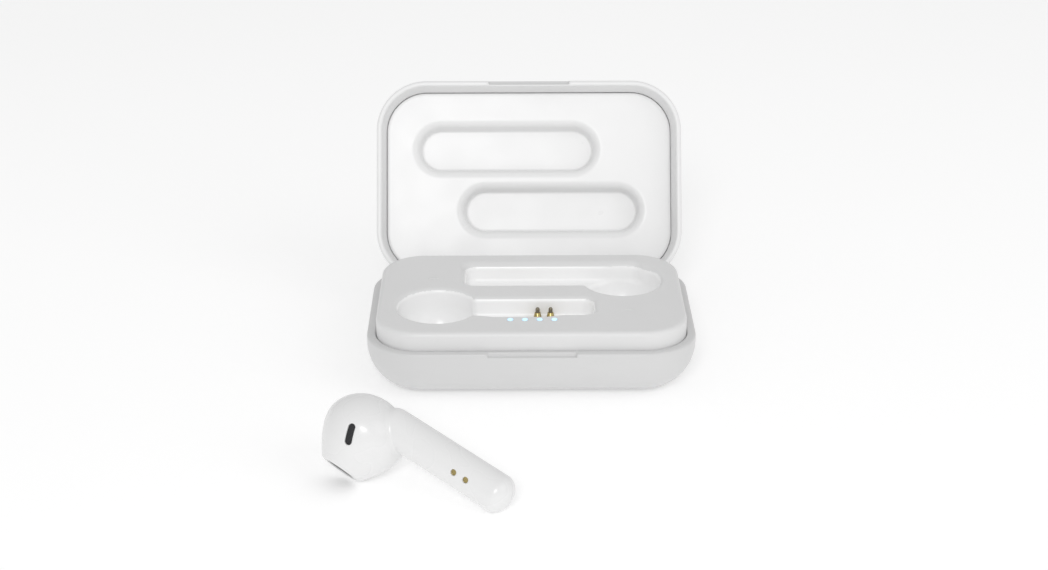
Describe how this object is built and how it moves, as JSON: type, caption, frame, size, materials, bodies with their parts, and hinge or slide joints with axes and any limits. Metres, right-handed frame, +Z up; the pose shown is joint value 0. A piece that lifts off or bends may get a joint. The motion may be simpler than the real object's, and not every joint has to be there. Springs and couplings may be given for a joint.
{
  "type": "wireless earbuds case",
  "caption": "Pocket charging case with a hinged lid, sprung charging contacts, charge lights and one stem-type earbud standing in front of it.",
  "frame": {"origin": "middle of the flat underside of the base, on the surface the case stands on", "axes": "+X to the right seen from the front, +Y from the front to the hinge, +Z up"},
  "size_m": [0.0762, 0.1173, 0.0506],
  "materials": {
    "shell_white": "smooth semi-gloss moulded white plastic",
    "tray_white": "smooth satin moulded white plastic",
    "liner_white": "smooth gloss bright white plastic",
    "bud_white": "polished white plastic",
    "light_window": "frosted clear light guide",
    "gold_contact": "gold plated",
    "steel": "ground steel",
    "magnet_nickel": "nickel plated",
    "board_green": "solder mask",
    "chip_black": "moulded package",
    "cell_wrap": "heat shrunk film",
    "pad_foam": "adhesive foam",
    "lead_red": "wire insulation",
    "ribbon_amber": "polyimide film",
    "mesh_dark": "fine woven mesh"
  },
  "bodies": {
    "base": {"base_shell": "shell_white", "charge_tray": "tray_white", "hinge_pin": "steel", "light_windows": "light_window", "light_chips": "chip_black", "main_board": "board_green", "main_chips": "chip_black", "lid_sensor": "chip_black", "board_screws": "steel", "charge_board": "board_green", "charge_chips": "chip_black", "usb_shell": "steel", "usb_tongue": "chip_black", "case_battery": "cell_wrap", "battery_pad": "pad_foam", "battery_leads": "lead_red", "board_ribbon": "ribbon_amber", "base_magnets": "magnet_nickel", "bud_magnets": "magnet_nickel", "pin_barrels": "gold_contact", "pin_spring_1": "steel", "pin_spring_2": "steel", "pin_spring_3": "steel", "pin_spring_4": "steel"},
    "lid": {"lid_shell": "shell_white", "lid_liner": "liner_white", "lid_magnets": "magnet_nickel"},
    "earbud": {"bud_front_cover": "bud_white", "bud_back_cover": "bud_white", "bud_vent_mesh": "mesh_dark", "bud_nozzle_mesh": "mesh_dark", "bud_contacts": "gold_contact", "bud_driver": "steel", "bud_battery": "cell_wrap", "bud_board": "board_green", "bud_magnet": "magnet_nickel", "bud_microphone": "chip_black"},
    "contact_pin_1": {"charge_pin_1": "gold_contact"},
    "contact_pin_2": {"charge_pin_2": "gold_contact"},
    "contact_pin_3": {"charge_pin_3": "gold_contact"},
    "contact_pin_4": {"charge_pin_4": "gold_contact"}
  },
  "joints": [
    {"name": "lid_hinge", "type": "hinge", "parent": "base", "child": "lid", "pos_m": [0, 0.0209, 0.0117], "axis": [1, 0, 0], "range_deg": [0, 117.2]},
    {"name": "earbud_lift", "type": "slide", "parent": "base", "child": "earbud", "axis": [0, 0, 1], "range_m": [0, 0.05]},
    {"name": "contact_pin_1_press", "type": "slide", "parent": "base", "child": "contact_pin_1", "axis": [0, 0, -1], "range_m": [0, 0.0012], "stiffness_N_per_m": 300, "springref_m": -0.0006, "deforming": ["pin_spring_1"]},
    {"name": "contact_pin_2_press", "type": "slide", "parent": "base", "child": "contact_pin_2", "axis": [0, 0, -1], "range_m": [0, 0.0012], "stiffness_N_per_m": 300, "springref_m": -0.0006, "deforming": ["pin_spring_2"]},
    {"name": "contact_pin_3_press", "type": "slide", "parent": "base", "child": "contact_pin_3", "axis": [0, 0, -1], "range_m": [0, 0.0012], "stiffness_N_per_m": 300, "springref_m": -0.0006, "deforming": ["pin_spring_3"]},
    {"name": "contact_pin_4_press", "type": "slide", "parent": "base", "child": "contact_pin_4", "axis": [0, 0, -1], "range_m": [0, 0.0012], "stiffness_N_per_m": 300, "springref_m": -0.0006, "deforming": ["pin_spring_4"]}
  ]
}
